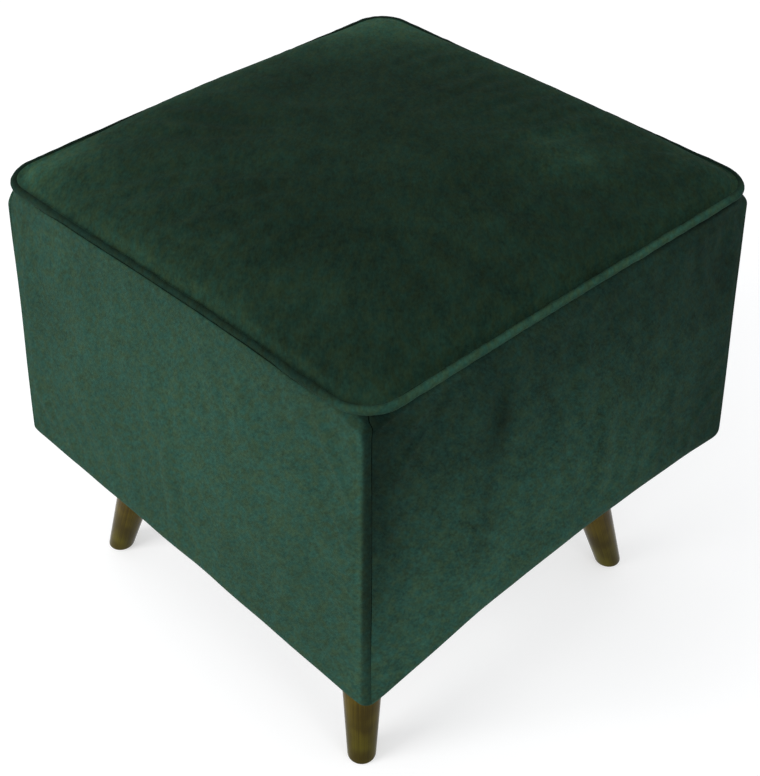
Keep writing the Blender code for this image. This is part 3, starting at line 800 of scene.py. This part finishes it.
def make_side_panel(name, quarter, material, brushed):
    grid = side_grid(name, quarter)
    columns, rows = grid.shape[:2]
    step = np.linalg.norm(np.diff(grid, axis=0), axis=-1)
    from_start = np.concatenate([np.zeros((1, rows)), np.cumsum(step, axis=0)])
    to_end = from_start[-1] - from_start
    ahead = np.gradient(grid, axis=0)
    outward = np.stack([ahead[..., 1], -ahead[..., 0], np.zeros((columns, rows))], axis=-1)
    outward /= np.linalg.norm(outward, axis=-1, keepdims=True)
    first_roll, last_roll = SEAM_ROLLS.get(name, PLAIN_ROLLS)
    roll = seam_roll(from_start, *first_roll) + seam_roll(to_end, *last_roll)
    roll *= beyond(WELT_HEIGHT - grid[..., 2], ROLL_FROM, ROLL_DROP)
    row = np.arange(rows)[None, :]
    held = ((from_start < SIDE_SEWN[0]) | (to_end < SIDE_SEWN[1])
            | (row <= len(SHOULDER)) | (row >= rows - HEM_STEPS))
    grid, outward = settle(turned(grid, quarter)), turned(outward, quarter)
    grid[..., 2] += (HEM_CORNER_LIFT
                     * spot(grid[..., 0], grid[..., 1], (HEM_CORNER_HALF, -HEM_CORNER_HALF),
                            HEM_CORNER_WIDTH)
                     * smoothstep(1.0 - (grid[..., 2] - BOX_BOTTOM) / HEM_CORNER_HEIGHT))
    grid = filled(name, grid, held) - outward * roll[..., None]
    flat = turned(grid, -quarter).reshape(-1, 3)[grid_border(columns, rows)]
    back_half = INNER_HALF - SIDE_BACK_GAP
    back = np.stack([np.full(len(flat), INNER_HALF),
                     np.clip(flat[:, 1] * INNER_HALF / WELT_HALF, -back_half, back_half),
                     np.clip(flat[:, 2], BOX_BOTTOM, SIDE_BACK_TOP)], axis=-1)
    piece = closed_piece(name + "_velvet", grid, turned(back, quarter), material)
    seed = SIDE_SEED + SIDE_SEED_STEP * quarter
    # the tones are the pile's lie, with painted light and shade
    store_pile_and_light(piece, brushed(add_relief(piece, lambda places: side_relief(places, seed))))
    return piece


# ---- piping --------------------------------------------------
PATH_STEP = 0.0035         # spacing of the points along the piping, half that in its bends
CORD_SIZES = (("Cord radius", PIPING_RADIUS), ("Profile sides", 16), ("Unevenness", 0.0010),
              ("Lump size", 0.009))
CREST_ANGLE, CREST_WIDTH = 55.0, 40.0      # the painted highlight's place and width, in degrees round the cord, from level outwards


def rounded_loop(half, radius, step):
    """Points once round a square with rounded corners."""
    run = half - radius
    straight = [(half, t) for t in np.linspace(-run, run, round(2 * run / step) + 1)[:-1]]
    bend = [(run + radius * math.cos(a), run + radius * math.sin(a))
            for a in np.linspace(0.0, math.pi / 2,
                                 round(radius * math.pi / step) + 1)[:-1]]
    quarter = np.array([(x, y, WELT_HEIGHT) for x, y in straight + bend])
    return np.concatenate([turned(quarter, turn) for turn in range(4)])


def cord_tree():
    """Geometry Nodes: sweep a round profile, a little uneven, along the piping's path."""
    tree = bpy.data.node_groups.new("piping_cord", "GeometryNodeTree")
    sockets = {}
    tree.interface.new_socket("Path", in_out="INPUT", socket_type="NodeSocketGeometry")
    for name, kind in (("Cord radius", "Float"), ("Profile sides", "Int"),
                       ("Unevenness", "Float"), ("Lump size", "Float"),
                       ("Material", "Material")):
        made = tree.interface.new_socket(name, in_out="INPUT", socket_type="NodeSocket" + kind)
        sockets[name] = made.identifier
    tree.interface.new_socket("Cord", in_out="OUTPUT", socket_type="NodeSocketGeometry")
    given = add_node(tree, "NodeGroupInput").outputs
    path = add_node(tree, "GeometryNodeMeshToCurve", {"Mesh": given["Path"]})
    circle = add_node(tree, "GeometryNodeCurvePrimitiveCircle",
                      {"Resolution": given["Profile sides"], "Radius": given["Cord radius"]})
    swept = add_node(tree, "GeometryNodeCurveToMesh",
                     {"Curve": path.outputs[0], "Profile Curve": circle.outputs[0]})
    place = add_node(tree, "GeometryNodeInputPosition")
    scale = add_node(tree, "ShaderNodeMath", {0: 1.0, 1: given["Lump size"]},
                     operation="DIVIDE")
    random = add_node(tree, "ShaderNodeTexNoise",
                      {"Vector": place.outputs[0], "Scale": scale.outputs[0], "Detail": 1.0})
    centred = add_node(tree, "ShaderNodeMath", {0: random.outputs[0], 1: 0.5},
                       operation="SUBTRACT")
    amount = add_node(tree, "ShaderNodeMath",
                      {0: centred.outputs[0], 1: given["Unevenness"]}, operation="MULTIPLY")
    normal = add_node(tree, "GeometryNodeInputNormal")
    offset = add_node(tree, "ShaderNodeVectorMath",
                      {0: normal.outputs[0], "Scale": amount.outputs[0]}, operation="SCALE")
    uneven = add_node(tree, "GeometryNodeSetPosition",
                      {"Geometry": swept.outputs[0], "Offset": offset.outputs[0]})
    realized = add_node(tree, "GeometryNodeRealizeInstances", {0: uneven.outputs[0]})
    finish = add_node(tree, "GeometryNodeSetMaterial",
                      {"Geometry": realized.outputs[0], "Material": given["Material"]})
    add_node(tree, "NodeGroupOutput", {0: finish.outputs[0]})
    return tree, sockets


def piping_pile_and_light(places):
    """Lightest round the right-hand half of the loop, with a painted highlight there along
    the crest of the cord; painted shade along the back edges.
    """
    x, y, z = places.T
    right = beyond(x, start=0.16, over=0.05)
    tone = 0.20 + 0.03 * lumps(places, size=(0.012, 0.012, 0.012), seed=61.0)
    tone += 0.34 * right * short_of(y, end=0.21, over=0.06)
    tone -= (0.03 * stripe(y, middle=-WELT_HALF, width=0.008)
             * short_of(x, end=0.19, over=0.05))
    # painted shade along the back edges
    tone -= (0.07 * stripe(x, middle=-WELT_HALF, width=0.008)
             + 0.05 * stripe(y, middle=WELT_HALF, width=0.008))
    tone *= 1.0 - 0.26 * spot(x, y, middle=(0.203, -0.203), radius=0.030)
    # a painted highlight along the cord's crest, on the right-hand half
    centre = settle(np.stack([x, y, np.full_like(x, WELT_HEIGHT)], axis=1))
    out = -top_inset(x, y) - (WELT_HALF - CLOTH_HALF)
    angle = np.degrees(np.arctan2(z - centre[:, 2], out))
    crest = 0.66 + 0.52 * stripe(angle, middle=CREST_ANGLE, width=CREST_WIDTH)
    return tone * (1.0 + (crest - 1.0) * right)


def make_piping(material):
    path = settle(rounded_loop(WELT_HALF, PIPING_CORNER, PATH_STEP))
    mesh = bpy.data.meshes.new("piping_path")
    count = len(path)
    mesh.from_pydata(path.tolist(), [(i, (i + 1) % count) for i in range(count)], [])
    piece = new_object("piping_velvet", mesh)
    tree, sockets = cord_tree()
    modifier = piece.modifiers.new("cord", "NODES")
    modifier.node_group = tree
    for name, value in CORD_SIZES + (("Material", material),):
        modifier[sockets[name]] = value
    made_plain(piece, modifier)
    outward_faces(piece)
    store_pile_and_light(piece, piping_pile_and_light(point_values(piece.data.vertices, "co")))
    return piece


# ---- legs ----------------------------------------------------
LEG_SIDES, LEG_RINGS = 64, 48
SOLE_EDGE, SOLE_RINGS = 0.0025, 7      # radius of the sole's rounded edge, and its rings
SHARP_FROM = 50.0                      # degrees


def make_leg(name, sign_x, sign_y, material):
    """Turned taper on a splayed axis, with a softly rounded sole."""
    foot = np.array([LEG_SET_OFF[0] + sign_x * LEG_FOOT_HALF[0],
                     LEG_SET_OFF[1] + sign_y * LEG_FOOT_HALF[1], 0.0])
    top = foot + np.array([-sign_x * LEG_SPLAY, -sign_y * LEG_SPLAY, LEG_TOP])
    rings = [(SOLE_EDGE * (1.0 - math.cos(a)), SOLE_EDGE * (1.0 - math.sin(a)))
             for a in np.linspace(0.0, math.pi / 2, SOLE_RINGS)]
    rings += [(SOLE_EDGE + (LEG_TOP - SOLE_EDGE) * i / LEG_RINGS, 0.0)
              for i in range(1, LEG_RINGS + 1)]
    bm = bmesh.new()
    uv_layer = bm.loops.layers.uv.new("round_and_along")
    rows = []
    for height, inset in rings:
        part = height / LEG_TOP
        centre = foot + (top - foot) * part
        radius = LEG_FOOT_RADIUS + (LEG_TOP_RADIUS - LEG_FOOT_RADIUS) * part - inset
        rows.append([bm.verts.new(Vector(centre) + Vector((math.cos(a), math.sin(a), 0.0))
                                  * radius)
                     for a in np.linspace(0.0, 2.0 * math.pi, LEG_SIDES + 1)[:-1]])
    for lower, upper in zip(rows, rows[1:]):
        for k in range(LEG_SIDES):
            after = (k + 1) % LEG_SIDES
            face = bm.faces.new((lower[k], lower[after], upper[after], upper[k]))
            for loop, turn in zip(face.loops, (k, k + 1, k + 1, k)):
                around = turn / LEG_SIDES * 2.0 * math.pi * LEG_TOP_RADIUS
                loop[uv_layer].uv = (around, loop.vert.co.z)
    bm.faces.new(list(reversed(rows[0])))
    bm.faces.new(rows[-1])
    bmesh.ops.recalc_face_normals(bm, faces=bm.faces)
    mesh = bpy.data.meshes.new(name + "_turned")
    bm.to_mesh(mesh)
    bm.free()
    mesh.shade_smooth()
    mesh.set_sharp_from_angle(angle=math.radians(SHARP_FROM))
    mesh.materials.append(material)
    return new_object(name + "_turned", mesh)


# ---- the stool -----------------------------------------------
def pile_line(lean, quarter_turns):
    """The turn of a line that leans so many degrees, on a side so many quarters round."""
    return (0.0, -math.radians(lean), math.radians(90.0 * quarter_turns))


SIDE_LOOKS = {             # velvet, lean and quarter turns of its pile, its tones of pile and painted light
    "side_right": (SIDE_VELVET, -PILE_LEAN, 1, right_pile_and_light),
    "side_back": (SIDE_VELVET, PILE_LEAN, 2, hidden_pile_and_shade),
    "side_left": (SIDE_VELVET, -PILE_LEAN, 3, hidden_pile_and_shade),
    "side_front": (FRONT_VELVET, PILE_LEAN, 4, front_pile_and_light),
}


def make_stool():
    # the pile of the top and the piping lies towards the front corner
    to_front = pile_line(0.0, -0.5)
    top_velvet = velvet("brushed_velvet_top", to_front, *TOP_VELVET)
    piping_velvet = velvet("velvet_piping", to_front, *PIPING_VELVET)
    pieces = [(make_top_panel(top_velvet), "top_panel", "velvet")]
    for name, quarter in SIDES:
        look, lean, turns, brushed = SIDE_LOOKS[name]
        cloth = velvet("brushed_velvet_" + name, pile_line(lean, turns), *look)
        pieces.append((make_side_panel(name, quarter, cloth, brushed), name, "velvet"))
    pieces.append((make_piping(piping_velvet), "piping", "velvet_piping"))
    wood = lacquered_wood()
    for name, sign_x, sign_y in LEGS:
        pieces.append((make_leg(name, sign_x, sign_y, wood), name, "lacquered_wood"))
    for piece, node, slot in pieces:
        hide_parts(node)
        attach(piece, "root")
    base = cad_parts["base_panel"]
    base.data.materials.clear()
    base.data.materials.append(dust_cover())


# ---- camera and studio ---------------------------------------
CAMERA_TURN = (45.968, 39.076, 0.270)      # degrees of azimuth, elevation and roll
CAMERA_PLACE = (0.6849, -0.6567, 0.9748)
CAMERA_LENS, CAMERA_SENSOR = 64.387, 36.0  # millimetres
SKY = (0.97, 0.98, 1.0, 1.0)
SKY_STRENGTH = 0.8
FLOOR_HALF = 8.0
FLOOR_GLOW = 0.52
LAMP_AIM = Vector((0.0, 0.0, 0.25))
SOFTBOXES = (              # name, place, size, power
    ("key_softbox", (-0.9, -2.6, 0.95), 1.5, 75.0),
    ("fill_softbox", (2.8, -0.3, 1.3), 0.8, 12.0),
)


def make_camera():
    """The photograph's viewpoint, for an image 760 pixels wide and 776 high."""
    azimuth, elevation, roll = (math.radians(angle) for angle in CAMERA_TURN)
    back = Vector((math.sin(azimuth) * math.cos(elevation),
                   -math.cos(azimuth) * math.cos(elevation), math.sin(elevation)))
    level = (-back).cross(Vector((0.0, 0.0, 1.0))).normalized()
    upright = level.cross(-back)
    right = math.cos(roll) * level + math.sin(roll) * upright
    up = math.cos(roll) * upright - math.sin(roll) * level
    data = bpy.data.cameras.new("camera")
    data.sensor_width = CAMERA_SENSOR
    data.lens = CAMERA_LENS
    camera = new_object("camera", data)
    camera.matrix_world = Matrix([
        (*axes, place) for axes, place in zip(zip(right, up, back), CAMERA_PLACE)
    ] + [(0.0, 0.0, 0.0, 1.0)])
    bpy.context.scene.camera = camera


def make_studio():
    """A pale paper floor, an even sky and two softboxes."""
    world = bpy.data.worlds.new("studio")
    world.use_nodes = True
    feed(world.node_tree, world.node_tree.nodes["Background"],
         {"Color": SKY, "Strength": SKY_STRENGTH})
    bpy.context.scene.world = world
    material, tree, shader = new_material("pale_backdrop_paper")
    feed(tree, shader, {"Base Color": linear("#c6c6c6"), "Roughness": 0.9,
                        "Emission Color": linear("#ffffff"), "Emission Strength": FLOOR_GLOW})
    mesh = bpy.data.meshes.new("studio_floor")
    corners = [(x * FLOOR_HALF, y * FLOOR_HALF, 0.0)
               for x, y in ((-1, -1), (1, -1), (1, 1), (-1, 1))]
    mesh.from_pydata(corners, [], [(0, 1, 2, 3)])
    mesh.materials.append(material)
    new_object("studio_floor", mesh)
    for name, place, size, power in SOFTBOXES:
        data = bpy.data.lights.new(name, "AREA")
        data.size = size
        data.energy = power
        lamp = new_object(name, data)
        lamp.location = place
        lamp.rotation_euler = (LAMP_AIM - Vector(place)).to_track_quat("-Z", "Y").to_euler()


make_camera()
make_studio()
make_stool()
